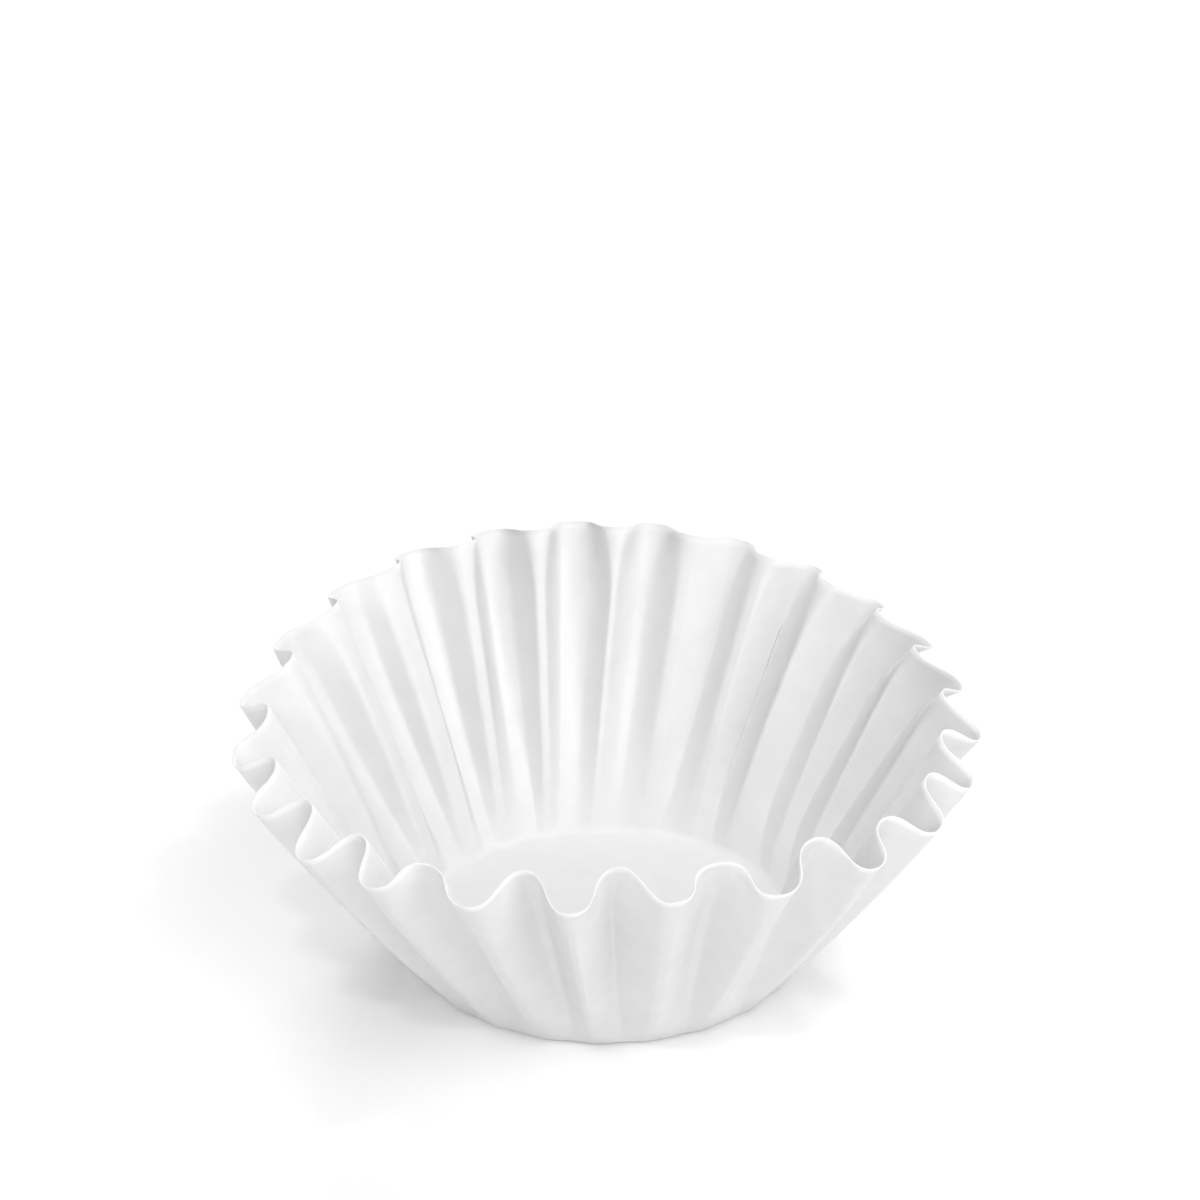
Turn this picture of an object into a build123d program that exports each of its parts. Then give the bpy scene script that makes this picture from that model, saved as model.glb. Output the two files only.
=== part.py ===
from build123d import *
import os
from collections import namedtuple
from math import atan2, cos, hypot, pi, radians, sin

# A basket coffee filter: one round sheet of crepe paper, pressed into a flat base and a fluted wall.
# The origin is the middle of the underside of the base, +Z is up and +Y is the back.

# Driving dimensions, in millimetres. The sheet is a standard round blank, 8 1/4 inches across.
sheet_radius = 104.8
base_radius = 38.1
paper = 0.2
corner_radius = 2.4
# The pressed base is not quite round: it reaches this much further to the left and right than to the front.
side_spread = 2.2
# How far the flutes swing to either side of the base edge where they start.
foot_wave = 0.25

# The wall is what is left of the sheet outside the base. No point of it can stand higher.
wall_length = sheet_radius - base_radius

# Each flute, clockwise from the back, in degrees: where its ridge stands and how far that leans out from
# upright, the same for the valley after it, and how far clockwise its foot stands past its rim.
# The wall is steep at the back and splays in front.
flute_angles = (
    (-6.5, 26.5, 3.0, 17.0, -6.9),
    (8.5, 23.5, 19.5, 16.0, -5.9),
    (27.5, 20.5, 37.5, 15.0, -9.7),
    (45.5, 20.5, 52.5, 16.5, -10.9),
    (63.5, 22.5, 67.0, 19.5, -9.4),
    (77.0, 26.5, 79.5, 22.0, -8.0),
    (88.5, 30.0, 92.5, 25.5, -7.8),
    (99.5, 33.5, 105.0, 26.5, -7.0),
    (112.0, 35.0, 117.0, 28.0, -6.4),
    (124.5, 35.5, 131.5, 28.5, -5.8),
    (138.0, 35.0, 145.0, 26.0, -5.2),
    (153.5, 33.5, 162.0, 25.5, -4.4),
    (170.5, 31.5, 177.5, 24.5, -3.3),
    (185.5, 33.0, 192.5, 26.0, -2.3),
    (200.0, 34.0, 208.0, 28.5, -1.4),
    (215.5, 35.5, 221.0, 28.0, -0.7),
    (227.5, 36.5, 234.0, 28.0, -0.3),
    (240.5, 35.5, 248.0, 27.5, 0.0),
    (253.0, 34.0, 262.5, 25.5, 1.0),
    (268.0, 31.0, 277.5, 22.0, 2.5),
    (284.0, 27.5, 296.0, 20.5, 4.8),
    (303.5, 26.0, 314.0, 20.5, 2.8),
    (323.0, 28.0, 330.0, 18.5, -2.8),
    (339.5, 29.5, 346.5, 18.0, -4.4),
)

# Each flute's folds, in the same order: the shares of the way across where the flank from the ridge leaves it
# and meets the valley, the share where the flank from the valley meets the next ridge, and then how full the
# two flanks are at the rim, from 0 for an even wave to 1 for one that is upright halfway.
flute_shares = (
    (0.47, 0.95, 0.84, 0.6, 0.6),
    (0.16, 0.81, 0.84, 0.4, 0.6),
    (0.08, 0.78, 0.60, 0.4, 0.6),
    (0.04, 0.85, 0.55, 0.7, 0.5),
    (0.10, 0.95, 0.50, 0.6, 0.5),
    (0.10, 0.95, 0.50, 0.7, 0.7),
    (0.15, 0.90, 0.65, 0.5, 0.6),
    (0.20, 0.80, 0.80, 0.8, 0.8),
    (0.20, 0.80, 0.80, 0.7, 0.6),
    (0.20, 0.80, 0.80, 0.5, 0.6),
    (0.16, 0.75, 0.85, 0.8, 0.5),
    (0.19, 0.78, 0.85, 0.9, 0.8),
    (0.13, 0.97, 0.88, 0.1, 0.7),
    (0.09, 0.84, 0.80, 0.3, 0.4),
    (0.15, 0.80, 0.80, 0.4, 0.7),
    (0.20, 0.80, 0.80, 0.4, 0.4),
    (0.20, 0.80, 0.80, 0.5, 0.4),
    (0.20, 0.80, 0.80, 0.7, 0.3),
    (0.25, 0.75, 0.80, 0.9, 0.3),
    (0.30, 0.75, 0.80, 0.6, 0.3),
    (0.48, 0.72, 0.80, 0.6, 0.5),
    (0.37, 0.62, 0.80, 0.6, 0.5),
    (0.41, 0.78, 0.80, 0.6, 0.7),
    (0.40, 0.80, 0.80, 0.7, 0.5),
)
# Where the flank from every valley leaves it.
valley_start_share = 0.18

# Creased paper stays flat between its creases, so the sheet is drawn in flat facets: this many across each
# flank between its two creases, and in rows that end at these shares of the corner's bend.
flank_facets = 3
corner_shares = (0, 0.5, 1)
# The rows up the wall: each one's share of the way up, and how far its creases have opened into round waves.
wall_shares = ((0.4, 0), (0.75, 0), (0.88, 0.27), (1, 1))

# The top of a ridge or the bottom of a valley: how it stands, its side, 1 for a ridge or -1 for a valley, and
# the shares of the flank that follows it.
Tip = namedtuple("Tip", "turn lean foot_turn side start_share end_share full_share")
# A place on a ridge or valley: its turn from the back, its reach from the axis, its height, and how far the
# face that is drawn lies inside the outer face there, measured level.
Place = namedtuple("Place", "turn reach height inset")


def all_tips():
    """Every ridge and valley in order, clockwise."""
    tips = []
    for angles, shares in zip(flute_angles, flute_shares):
        ridge_turn, ridge_lean, valley_turn, valley_lean, foot_shift = (radians(angle) for angle in angles)
        start, end, next_end, full, next_full = shares
        tips.append(Tip(ridge_turn, ridge_lean, ridge_turn + foot_shift, 1, start, end, full))
        foot_turn = valley_turn + foot_shift
        tips.append(Tip(valley_turn, valley_lean, foot_turn, -1, valley_start_share, next_end, next_full))
    return tips


def corner_place(tip, share, inset):
    """Where a ridge or valley passes through the corner, this share of the way round the bend."""
    angle = share * (pi / 2 - tip.lean)
    edge = base_radius + side_spread * sin(tip.foot_turn) ** 2 + foot_wave * tip.side
    set_back = corner_radius * (1 - sin(tip.lean)) / cos(tip.lean)
    reach = edge - set_back + corner_radius * sin(angle)
    height = corner_radius - (corner_radius - inset) * cos(angle)
    return Place(tip.foot_turn, reach, height, inset * sin(angle))


def wall_place(tip, share, inset):
    """Where a ridge or valley has climbed this share of the wall, in a straight line to the sheet's edge."""
    foot = corner_place(tip, 1, inset)
    rim_reach = base_radius + wall_length * sin(tip.lean)
    rim_height = wall_length * cos(tip.lean)
    rim_inset = inset / cos(tip.lean)
    x = foot.reach * sin(foot.turn) * (1 - share) + rim_reach * sin(tip.turn) * share
    y = foot.reach * cos(foot.turn) * (1 - share) + rim_reach * cos(tip.turn) * share
    height = foot.height * (1 - share) + rim_height * share
    return Place(atan2(x, y), hypot(x, y), height, foot.inset * (1 - share) + rim_inset * share)


def creased(tip):
    """How far along and across a sharply folded flank its points lie, from its ridge or valley on."""
    points = [(0, 0)]
    for facet in range(flank_facets + 1):
        across = facet / flank_facets
        points.append((tip.start_share + (tip.end_share - tip.start_share) * across, across))
    return points


def waved(tip):
    """How far along and across a flank in a round wave as many points lie."""
    points = []
    for place in range(flank_facets + 2):
        share = place / (flank_facets + 2)
        along = share + tip.full_share * sin(2 * pi * share) / (2 * pi)
        points.append((along, (1 - cos(pi * share)) / 2))
    return points


def moved_in(points, insets):
    """A closed row moved level into the cup, square to the paper, each point by its inset."""
    moved = []
    for number, point in enumerate(points):
        back = point - points[number - 1]
        on = points[(number + 1) % len(points)] - point
        # Rows run clockwise, so the inside is on the right of the way.
        square_back = Vector(back.Y, -back.X).normalized()
        square_on = Vector(on.Y, -on.X).normalized()
        bisector = square_back + square_on
        moved.append(point + bisector * (2 * insets[number] / bisector.length**2))
    return moved


def row(places, round_share):
    """One closed row of points through its ridges and valleys, on the face that their insets give."""
    points, insets = [], []
    for tip, start, end in zip(all_tips(), places, places[1:] + places[:1]):
        step = (end.turn - start.turn) % (2 * pi)
        for (sharp_along, sharp_across), (wave_along, wave_across) in zip(creased(tip), waved(tip)):
            across = sharp_across + (wave_across - sharp_across) * round_share
            turn = start.turn + step * (sharp_along + (wave_along - sharp_along) * round_share)
            reach = start.reach + (end.reach - start.reach) * across
            height = start.height + (end.height - start.height) * across
            points.append(Vector(reach * sin(turn), reach * cos(turn), height))
            insets.append(start.inset + (end.inset - start.inset) * across)
    return moved_in(points, insets)


def face_rows(inset):
    """The rows up one face of the paper, from the flat of the base to the rim."""
    tips = all_tips()
    rows = [row([corner_place(tip, share, inset) for tip in tips], 0) for share in corner_shares]
    for share, round_share in wall_shares:
        rows.append(row([wall_place(tip, share, inset) for tip in tips], round_share))
    return rows


def facets(lower, upper):
    """The flat facets between two rows, two to each cell."""
    faces = []
    for place in range(len(lower)):
        low, low_before = lower[place], lower[place - 1]
        high, high_before = upper[place], upper[place - 1]
        faces.append(Face(Wire.make_polygon([low_before, low, high])))
        faces.append(Face(Wire.make_polygon([low_before, high, high_before])))
    return faces


# The paper is drawn as one skin: its outer and inner face, in facets that match, and the cut edge at the rim.
outer_rows, inner_rows = face_rows(0), face_rows(paper)
skin = [Face(Wire.make_polygon(outer_rows[0])), Face(Wire.make_polygon(inner_rows[0]))]
for rows in (outer_rows, inner_rows):
    for lower, upper in zip(rows[:-1], rows[1:]):
        skin.extend(facets(lower, upper))
skin.extend(facets(outer_rows[-1], inner_rows[-1]))

with BuildPart() as pleated_filter:
    add(Solid(Shell(skin)))

pleated_filter.part.label = "pleated_filter"
os.makedirs("parts", exist_ok=True)
export_step(pleated_filter.part, "parts/pleated_filter.step")
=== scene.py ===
"""The looks of a basket coffee filter: one fluted sheet of white crepe paper on a white table, in metres."""

from collections import namedtuple
from math import cos, pi, radians, sin

import bpy
import numpy as np
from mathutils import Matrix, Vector


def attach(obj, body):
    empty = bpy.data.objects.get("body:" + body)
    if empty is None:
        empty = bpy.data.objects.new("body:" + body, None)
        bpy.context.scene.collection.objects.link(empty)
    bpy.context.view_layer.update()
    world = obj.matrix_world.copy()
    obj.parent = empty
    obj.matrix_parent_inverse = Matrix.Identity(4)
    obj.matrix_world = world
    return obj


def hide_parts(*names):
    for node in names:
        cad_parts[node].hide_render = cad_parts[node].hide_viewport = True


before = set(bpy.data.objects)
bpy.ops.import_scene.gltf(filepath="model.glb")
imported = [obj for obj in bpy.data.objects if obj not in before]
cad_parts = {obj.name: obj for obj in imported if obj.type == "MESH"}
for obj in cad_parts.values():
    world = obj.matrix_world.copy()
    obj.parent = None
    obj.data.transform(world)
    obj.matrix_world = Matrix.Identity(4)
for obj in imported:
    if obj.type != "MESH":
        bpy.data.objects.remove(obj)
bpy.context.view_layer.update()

MM = 0.001

# The sheet, at the real size of the solid that it stands for.
SHEET_RADIUS = 104.8 * MM
BASE_RADIUS = 38.1 * MM
PAPER = 0.2 * MM
CORNER_RADIUS = 2.4 * MM
# At the base's edge the ridges stand this much further out, and the valleys as much further in.
FOOT_WAVE = 0.1 * MM
# The base is not quite round: it reaches this much further to the left and right than to the front.
SIDE_SPREAD = 2.2 * MM
WALL_LENGTH = SHEET_RADIUS - BASE_RADIUS

# One flute, in degrees, shares and millimetres. A turn is clockwise from the back, and a lean is out from
# upright. A foot stands so far past its rim, and a fold swings so far past the straight line between the two.
# The shaded flank starts and ends at these shares of the way from ridge to valley, and the lit flank ends at
# a share of the way on to the next ridge. Full is how far the curve of a flank is from an even wave at the
# rim. Halfway up, the ridge bows out and the valley in.
Flute = namedtuple(
    "Flute",
    "ridge_turn ridge_lean valley_turn valley_lean ridge_foot valley_foot ridge_swing valley_swing "
    "shaded_start shaded_end lit_end shaded_full lit_full bow",
)
# Every flute, clockwise from the back.
FLUTES = (
    Flute(-6.5, 26.5, 3.0, 17.0, -6.9, -6.9, 0.0, 0.0, 0.44, 0.95, 0.84, 0.6, 0.6, 0.9),
    Flute(8.5, 23.5, 19.5, 16.0, -5.9, -5.9, 0.0, 0.0, 0.13, 0.81, 0.93, 0.4, 0.6, 0.9),
    Flute(27.5, 20.5, 37.5, 15.0, -9.7, -9.7, 0.0, 0.0, 0.08, 0.78, 0.95, 0.4, 0.6, 1.0),
    Flute(45.5, 20.5, 52.5, 16.5, -10.1, -12.5, -3.7, 0.2, 0.04, 0.97, 0.95, 0.7, 0.5, 1.8),
    Flute(63.5, 22.5, 67.0, 19.5, -8.8, -8.4, -6.7, -2.3, 0.04, 0.97, 0.95, 0.6, 0.5, 0.2),
    Flute(77.0, 26.5, 79.5, 22.0, -8.5, -7.6, -9.6, -3.1, 0.04, 0.97, 0.95, 0.7, 0.7, 0.0),
    Flute(88.5, 30.0, 92.5, 25.5, -8.1, -8.6, -9.3, -1.3, 0.04, 0.97, 0.95, 0.5, 0.6, 0.0),
    Flute(99.5, 33.5, 105.0, 26.5, -8.5, -7.0, -2.0, 0.3, 0.10, 0.85, 0.80, 0.8, 0.8, 0.9),
    Flute(112.0, 35.0, 117.0, 28.0, -6.4, -6.4, 0.0, 0.0, 0.20, 0.80, 0.80, 0.7, 0.6, 0.9),
    Flute(124.5, 35.5, 131.5, 28.5, -5.8, -5.8, 0.0, 0.0, 0.20, 0.80, 0.80, 0.5, 0.6, 0.9),
    Flute(138.0, 35.0, 145.0, 26.0, -5.2, -5.2, 0.0, 0.0, 0.16, 0.75, 0.85, 0.8, 0.5, 1.2),
    Flute(153.5, 33.5, 162.0, 25.5, -4.4, -4.4, 1.0, 0.0, 0.19, 0.78, 0.85, 0.9, 0.8, 1.2),
    Flute(170.5, 31.5, 177.5, 24.5, -3.3, -3.3, 0.0, 1.8, 0.13, 0.97, 0.88, 0.1, 0.7, 1.2),
    Flute(185.5, 33.0, 192.5, 26.0, -2.3, -2.3, 0.0, 0.0, 0.09, 0.84, 0.80, 0.3, 0.4, 1.2),
    Flute(200.0, 34.0, 208.0, 28.5, -1.4, -1.4, 0.0, 0.0, 0.15, 0.80, 0.80, 0.4, 0.7, 0.9),
    Flute(215.5, 35.5, 221.0, 28.0, -0.7, -0.7, 0.0, 0.0, 0.20, 0.80, 0.80, 0.4, 0.4, 0.9),
    Flute(227.5, 36.5, 234.0, 28.0, -0.3, -0.3, 0.0, 0.0, 0.20, 0.80, 0.80, 0.5, 0.4, 0.9),
    Flute(240.5, 35.5, 248.0, 27.5, 0.0, 0.0, 0.0, 0.0, 0.20, 0.80, 0.80, 0.7, 0.3, 0.9),
    Flute(253.0, 34.0, 262.5, 25.5, 1.0, 1.0, 0.0, 0.0, 0.25, 0.75, 0.80, 0.9, 0.3, 0.9),
    Flute(268.0, 31.0, 277.5, 22.0, 2.5, 2.5, 0.0, 0.0, 0.30, 0.75, 0.80, 0.6, 0.3, 0.9),
    Flute(284.0, 27.5, 296.0, 20.5, 4.8, 4.8, 0.0, 0.0, 0.56, 0.70, 0.80, 0.6, 0.5, 1.4),
    Flute(303.5, 26.0, 314.0, 20.5, 2.8, 2.8, 0.0, 0.0, 0.45, 0.61, 0.80, 0.6, 0.5, 1.4),
    Flute(323.0, 28.0, 330.0, 18.5, -2.8, -2.8, 0.0, 0.0, 0.45, 0.78, 0.80, 0.6, 0.7, 0.9),
    Flute(339.5, 29.5, 346.5, 18.0, -4.4, -4.4, 0.0, 0.0, 0.44, 0.80, 0.80, 0.7, 0.5, 0.9),
)
# Where a lit flank starts past its valley, as a share of the way to the next ridge.
LIT_START_SHARE = 0.1
# The part of the wall under the rim where the creases die out into round flutes, as a share.
RIM_PART_SHARE = 0.25
# How often the rings are smoothed, which rounds the creases.
CREASE_ROUNDS = 2

# The drawn sheet's columns on each side of a ridge or valley and across a flank, and its rows up each part.
LEVEL_COLUMNS = 4
FLANK_COLUMNS = 10
BASE_ROWS = 6
CORNER_ROWS = 6
WALL_ROWS = 36

# How wide and high the crepe's grain is, as on the real paper, and how wide the patches of thicker pulp are.
GRAIN_WIDTH = 0.6 * MM
GRAIN_HEIGHT = 0.045 * MM
PULP_PATCH = 5 * MM

# The table reaches this far, in metres, and the camera sees it lifted by this much light.
TABLE_REACH = 6
TABLE_LIFT = 0.155

# The camera that took the photograph, worked out from the rim and the base.
CAMERA_PLACE = (-1.0 * MM, -676.8 * MM, 472.4 * MM)
CAMERA_PITCH = 30.14
CAMERA_LENS = 120
CAMERA_SENSOR = 36

# The studio's lamps: name, azimuth from the right towards the back and elevation in degrees, side in metres
# and power in watts. All of them stand this far away, in metres.
LAMP_DISTANCE = 1.6
LAMPS = (
    ("back_middle", 90, 35, 0.7, 13.8),
    ("key_top", 315, 60, 0.7, 6.4),
    ("right_low", 0, 12, 0.7, 4.4),
    ("front_low", 270, 12, 0.7, 4.4),
    ("key_middle", 315, 35, 0.7, 4.5),
    ("back_right_low", 45, 12, 0.7, 3.2),
    ("left_front_middle", 225, 35, 0.7, 3.9),
    ("front_top", 270, 60, 0.7, 3.5),
    ("front_spot", 258, 58, 0.1, 3.0),
    ("left_low", 180, 12, 0.7, 2.8),
    ("right_spot", 341, 64, 0.14, 2.3),
    ("key_low", 315, 12, 0.7, 2.2),
    ("front_middle", 270, 35, 0.7, 2.3),
    ("left_middle", 180, 35, 0.7, 1.3),
    ("back_top", 90, 60, 0.7, 2.1),
)


def hex_colour(code):
    """A colour written as sRGB hex, as linear light."""
    parts = [int(code[place : place + 2], 16) / 255 for place in (1, 3, 5)]
    return [part / 12.92 if part <= 0.04045 else ((part + 0.055) / 1.055) ** 2.4 for part in parts] + [1.0]


def tips():
    """The turn, lean, side and foot's turn of every ridge and valley in order, as arrays."""
    rows = []
    for flute in FLUTES:
        rows.append((flute.ridge_turn, flute.ridge_lean, 1, flute.ridge_turn + flute.ridge_foot))
        rows.append((flute.valley_turn, flute.valley_lean, -1, flute.valley_turn + flute.valley_foot))
    turn, lean, side, foot_turn = np.array(rows, float).T
    return np.radians(turn), np.radians(lean), side, np.radians(foot_turn)


def crease_shares():
    """Where every flank starts and ends between its ridge and valley."""
    start, end = [], []
    for flute in FLUTES:
        start += [flute.shaded_start, LIT_START_SHARE]
        end += [flute.shaded_end, flute.lit_end]
    return np.array(start), np.array(end)


def corner_places(share):
    """Turn, reach and height of every ridge and valley, this share of the way round the corner's bend."""
    lean, side, foot_turn = tips()[1:]
    angle = share * (pi / 2 - lean)
    set_back = CORNER_RADIUS * (1 - np.sin(lean)) / np.cos(lean)
    edge = BASE_RADIUS + SIDE_SPREAD * np.sin(foot_turn) ** 2 + FOOT_WAVE * side
    return foot_turn, edge - set_back + CORNER_RADIUS * np.sin(angle), CORNER_RADIUS * (1 - np.cos(angle))


def rim_places():
    """Turn, reach and height of every ridge and valley at the rim."""
    turn, lean = tips()[:2]
    return turn, BASE_RADIUS + WALL_LENGTH * np.sin(lean), WALL_LENGTH * np.cos(lean)


def wall_places(share):
    """Turn, reach and height of every ridge and valley, this share of the way up the wall."""
    foot_turn, foot_reach, foot_height = corner_places(1)
    rim_turn, rim_reach, rim_height = rim_places()
    low = np.stack([foot_reach * np.sin(foot_turn), foot_reach * np.cos(foot_turn), foot_height])
    high = np.stack([rim_reach * np.sin(rim_turn), rim_reach * np.cos(rim_turn), rim_height])
    x, y, height = low + (high - low) * share
    most_swing = np.radians([(flute.ridge_swing, flute.valley_swing) for flute in FLUTES]).ravel()
    swing = most_swing * (1 - (2 * share - 1) ** 4)
    most_bow = np.repeat([flute.bow * MM for flute in FLUTES], 2) * tips()[2]
    bow = most_bow * 4 * share * (1 - share)
    return np.arctan2(x, y) + swing, np.hypot(x, y) + bow, height


def rounded(values):
    """A closed ring of points with its creases rounded."""
    for _ in range(CREASE_ROUNDS):
        values = (np.roll(values, 1, axis=0) + 2 * values + np.roll(values, -1, axis=0)) / 4
    return values


def flank_points(places, along, across):
    """Points of a closed ring, from how far along and across every flank they lie, as shares."""
    turn, reach, height = places
    step = (np.roll(turn, -1) - turn) % (2 * pi)
    angle = turn[:, None] + step[:, None] * along
    radius = reach[:, None] + (np.roll(reach, -1) - reach)[:, None] * across
    level = height[:, None] + (np.roll(height, -1) - height)[:, None] * across
    return np.stack([radius * np.sin(angle), radius * np.cos(angle), level], -1).reshape(-1, 3)


def creased_ring(places):
    """A closed ring of points: each ridge and valley runs level, and straight flanks join them."""
    start, end = crease_shares()
    level = np.arange(LEVEL_COLUMNS) / LEVEL_COLUMNS
    slope = np.arange(FLANK_COLUMNS) / FLANK_COLUMNS
    leaving = start[:, None] * level
    crossing = start[:, None] + (end - start)[:, None] * slope
    meeting = end[:, None] + (1 - end)[:, None] * level
    along = np.concatenate([leaving, crossing, meeting], 1)
    across = np.concatenate([0 * level, slope, 0 * level + 1])
    return rounded(flank_points(places, along, across))


def round_ring(places):
    """A closed ring of points in round waves, each flank as full as its own share says."""
    fullness = np.array([(flute.shaded_full, flute.lit_full) for flute in FLUTES]).reshape(-1, 1)
    columns = 2 * LEVEL_COLUMNS + FLANK_COLUMNS
    share = np.arange(columns) / columns
    along = share + fullness * np.sin(2 * pi * share) / (2 * pi)
    return flank_points(places, along, (1 - np.cos(pi * share)) / 2)


def wall_ring(share):
    """A closed ring of points this share of the way up the wall."""
    places = wall_places(share)
    roundness = max(0, 1 - (1 - share) / RIM_PART_SHARE) ** 2
    return creased_ring(places) * (1 - roundness) + round_ring(places) * roundness


def outer_face():
    """The outer face of the sheet as a grid of points, rows from the middle of the base to the rim."""
    rows = []
    foot = creased_ring(corner_places(0))
    for row in range(1, BASE_ROWS):
        rows.append(foot * (row / BASE_ROWS))
    for row in range(CORNER_ROWS):
        rows.append(creased_ring(corner_places(row / CORNER_ROWS)))
    for row in range(WALL_ROWS + 1):
        rows.append(wall_ring(row / WALL_ROWS))
    return np.array(rows)


def face_normals(grid):
    """The normal of the sheet at each point of the grid, towards the inside of the cup."""
    around = np.roll(grid, -1, axis=1) - np.roll(grid, 1, axis=1)
    up = np.gradient(grid, axis=0)
    normals = np.cross(around, up)
    normals /= np.linalg.norm(normals, axis=2, keepdims=True)
    return normals


def skin_faces(rows, columns):
    """The closed skin as rows of corners: both faces' quads, the cut edge's, and two fans in the base."""
    here = np.arange(columns)
    beyond = (here + 1) % columns
    inner_start = rows * columns
    quads = []
    for row in range(rows - 1):
        low = row * columns
        high = low + columns
        quads.append(np.stack([low + here, high + here, high + beyond, low + beyond], -1))
        low, high = low + inner_start, high + inner_start
        quads.append(np.stack([low + here, low + beyond, high + beyond, high + here], -1))
    rim = (rows - 1) * columns
    inner_rim = rim + inner_start
    quads.append(np.stack([rim + here, inner_rim + here, inner_rim + beyond, rim + beyond], -1))
    faces = np.concatenate(quads).tolist()
    # The last two points are the middle of the underside and the one above it.
    under = 2 * inner_start
    top = under + 1
    for column in range(columns):
        after = (column + 1) % columns
        faces.append([under, column, after])
        faces.append([top, inner_start + after, inner_start + column])
    return faces


def paper_mesh():
    """The sheet as one closed skin: the outer face, the cut edge at the rim and the inner face."""
    outer = outer_face()
    inner = outer + face_normals(outer) * PAPER
    middles = [(0, 0, 0), (0, 0, PAPER)]
    points = np.concatenate([outer.reshape(-1, 3), inner.reshape(-1, 3), middles])
    rows, columns = outer.shape[:2]
    mesh = bpy.data.meshes.new("fluted_paper")
    mesh.from_pydata(points.tolist(), [], skin_faces(rows, columns))
    mesh.validate()
    # The two faces of the sheet are smooth, and the cut edge between them is crisp.
    smooth = np.ones(len(mesh.polygons), bool)
    cut_edge = 2 * (rows - 1) * columns
    smooth[cut_edge : cut_edge + columns] = False
    mesh.polygons.foreach_set("use_smooth", smooth)
    mesh.update()
    return mesh


def add_node(tree, kind, settings=None, inputs=None):
    """A new node in a material's tree: settings are its own fields, inputs its sockets' values or links."""
    node = tree.nodes.new(kind)
    for field, value in (settings or {}).items():
        setattr(node, field, value)
    for socket, value in (inputs or {}).items():
        if isinstance(value, bpy.types.NodeSocket):
            tree.links.new(value, node.inputs[socket])
        else:
            node.inputs[socket].default_value = value
    return node


def new_material(name):
    """An empty node material and the output node that ends it."""
    material = bpy.data.materials.new(name)
    material.use_nodes = True
    material.node_tree.nodes.clear()
    return material, material.node_tree, add_node(material.node_tree, "ShaderNodeOutputMaterial")


def crepe_paper():
    """Bleached crepe filter paper, wet-laid and creped: matt, faintly grainy, and cloudy with uneven pulp."""
    material, tree, output = new_material("crepe_filter_paper")
    place = add_node(tree, "ShaderNodeTexCoord").outputs["Object"]
    fibres = add_node(
        tree,
        "ShaderNodeTexNoise",
        inputs={"Vector": place, "Scale": 1 / GRAIN_WIDTH, "Detail": 3.0},
    )
    bump = add_node(
        tree,
        "ShaderNodeBump",
        inputs={"Height": fibres.outputs["Fac"], "Distance": GRAIN_HEIGHT, "Strength": 0.8},
    )
    clouds = add_node(
        tree,
        "ShaderNodeTexNoise",
        inputs={"Vector": place, "Scale": 1 / PULP_PATCH, "Detail": 5.0},
    )
    # The mix's colour sockets are 6 and 7, and its colour comes out of 2.
    pulp = add_node(
        tree,
        "ShaderNodeMix",
        settings={"data_type": "RGBA"},
        inputs={0: clouds.outputs["Fac"], 6: hex_colour("#e1e1e1"), 7: hex_colour("#eaeaea")},
    )
    shader = add_node(
        tree,
        "ShaderNodeBsdfPrincipled",
        inputs={
            "Base Color": pulp.outputs[2],
            "Roughness": 0.9,
            "Specular IOR Level": 0.3,
            "Normal": bump.outputs["Normal"],
        },
    )
    tree.links.new(shader.outputs["BSDF"], output.inputs["Surface"])
    return material


def white_table():
    """Matt white laminate, lit past white in the camera's eyes apart from the filter's shadow."""
    material, tree, output = new_material("white_table")
    seen = add_node(tree, "ShaderNodeLightPath").outputs["Is Camera Ray"]
    lift = add_node(
        tree,
        "ShaderNodeMath",
        settings={"operation": "MULTIPLY"},
        inputs={0: seen, 1: TABLE_LIFT},
    )
    shader = add_node(
        tree,
        "ShaderNodeBsdfPrincipled",
        inputs={
            "Base Color": hex_colour("#e6e6e6"),
            "Roughness": 0.9,
            "Emission Color": (1, 1, 1, 1),
            "Emission Strength": lift.outputs["Value"],
        },
    )
    tree.links.new(shader.outputs["BSDF"], output.inputs["Surface"])
    return material


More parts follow.
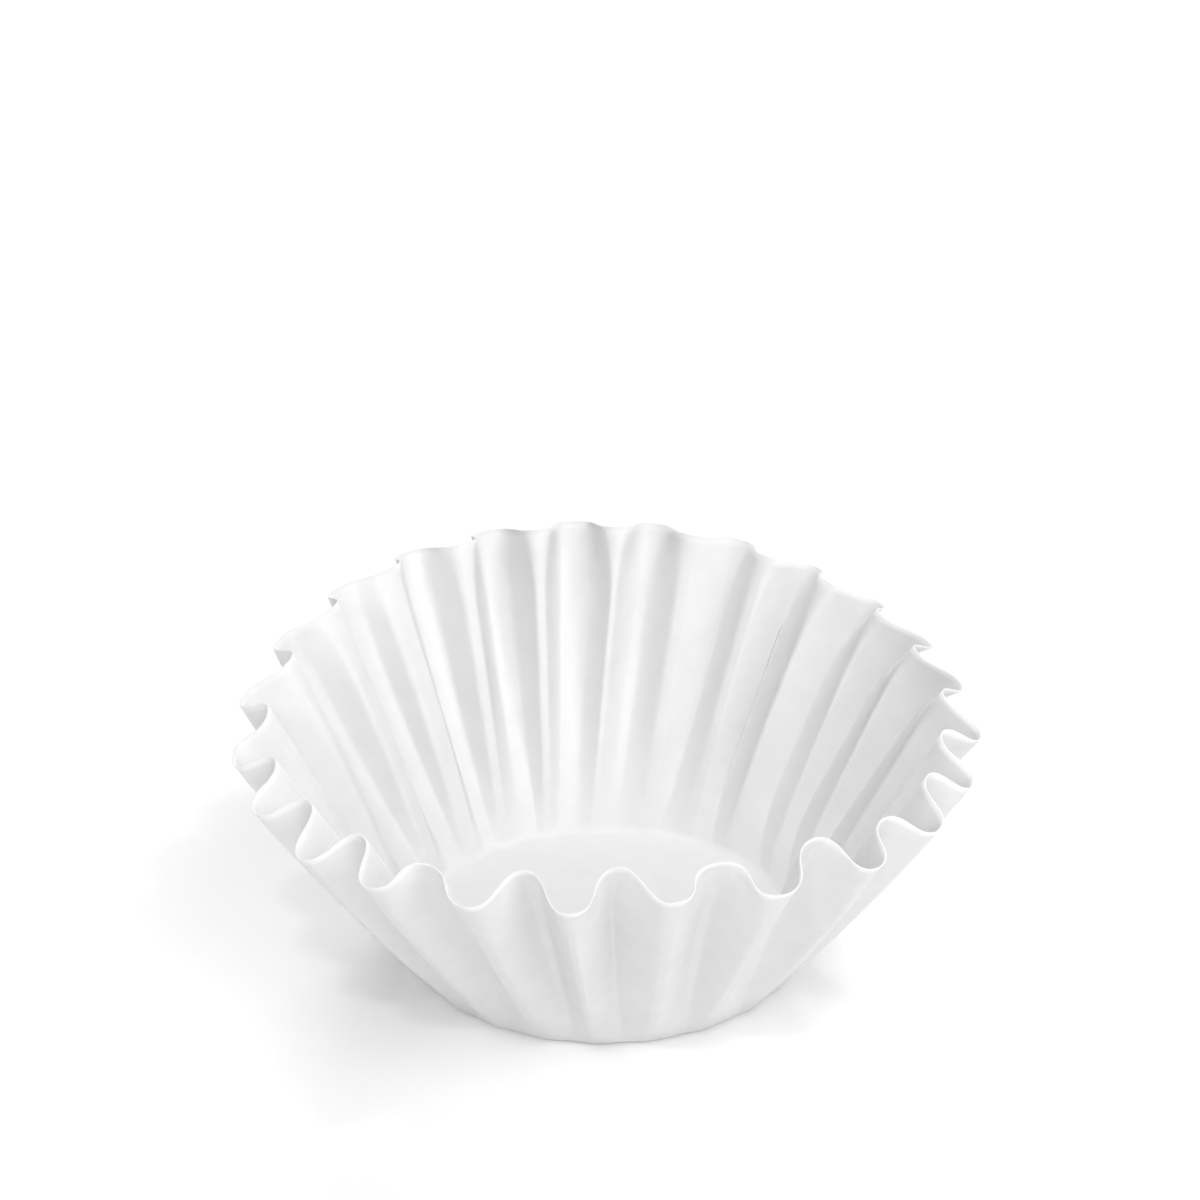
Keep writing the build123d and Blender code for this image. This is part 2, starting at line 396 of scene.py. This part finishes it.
def build_filter():
    """The paper, in place of the plain solid."""
    piece = bpy.data.objects.new("fluted_paper", paper_mesh())
    bpy.context.scene.collection.objects.link(piece)
    piece.data.materials.append(crepe_paper())
    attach(piece, "root")
    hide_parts("pleated_filter")


def build_table():
    """The floor that the filter stands on."""
    mesh = bpy.data.meshes.new("table")
    corners = [(x * TABLE_REACH, y * TABLE_REACH, 0) for x, y in ((-1, -1), (1, -1), (1, 1), (-1, 1))]
    mesh.from_pydata(corners, [], [(0, 1, 2, 3)])
    table = bpy.data.objects.new("table", mesh)
    bpy.context.scene.collection.objects.link(table)
    mesh.materials.append(white_table())


def add_lamp(name, azimuth, elevation, size, power):
    """A square lamp aimed at the filter."""
    data = bpy.data.lights.new(name, "AREA")
    data.size, data.energy = size, power
    light = bpy.data.objects.new(name, data)
    turn, rise = radians(azimuth), radians(elevation)
    towards = Vector((cos(rise) * cos(turn), cos(rise) * sin(turn), sin(rise)))
    light.location = towards * LAMP_DISTANCE
    light.rotation_mode = "QUATERNION"
    light.rotation_quaternion = (-towards).to_track_quat("-Z", "Y")
    bpy.context.scene.collection.objects.link(light)


def build_lights():
    """Soft boxes all round, strongest from the back, and two small spots, in front of a white sweep."""
    for lamp in LAMPS:
        add_lamp(*lamp)
    world = bpy.data.worlds.new("white_sweep")
    world.use_nodes = True
    bpy.context.scene.world = world
    tree = world.node_tree
    tree.nodes.clear()
    seen = add_node(tree, "ShaderNodeLightPath").outputs["Is Camera Ray"]
    white = add_node(tree, "ShaderNodeBackground", inputs={"Color": (1, 1, 1, 1), "Strength": seen})
    output = add_node(tree, "ShaderNodeOutputWorld")
    tree.links.new(white.outputs["Background"], output.inputs["Surface"])


def build_camera():
    """The camera where the photograph was taken from."""
    data = bpy.data.cameras.new("camera")
    data.lens, data.sensor_width = CAMERA_LENS, CAMERA_SENSOR
    camera = bpy.data.objects.new("camera", data)
    camera.location = CAMERA_PLACE
    camera.rotation_euler = (radians(90 - CAMERA_PITCH), 0, 0)
    bpy.context.scene.collection.objects.link(camera)
    bpy.context.scene.camera = camera


bpy.context.scene.view_settings.view_transform = "Standard"
build_filter()
build_table()
build_lights()
build_camera()
